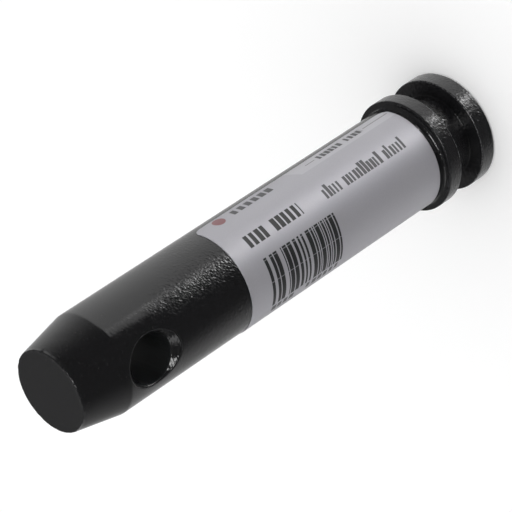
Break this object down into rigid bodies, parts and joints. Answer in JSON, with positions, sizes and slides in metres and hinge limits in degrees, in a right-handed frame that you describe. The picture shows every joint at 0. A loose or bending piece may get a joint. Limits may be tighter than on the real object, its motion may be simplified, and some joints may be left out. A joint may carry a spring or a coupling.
{
  "type": "top link pin",
  "caption": "Headed steel pin with a cross hole and a tapered nose, which joins a tractor's upper link arm to its bracket.",
  "frame": {"origin": "centre of the head's flat end face, on which the pin stands", "axes": "+Z along the pin's axis to the tapered nose, Y along the cross hole, with the pictured mouth towards -Y"},
  "size_m": [0.0286, 0.0286, 0.1312],
  "materials": {
    "pin_enamel": "black gloss enamel on turned steel, with a light orange peel",
    "label_film": "grey satin film with dark grey print"
  },
  "bodies": {
    "root": {"pin_body": "pin_enamel", "label": "label_film"}
  },
  "joints": []
}
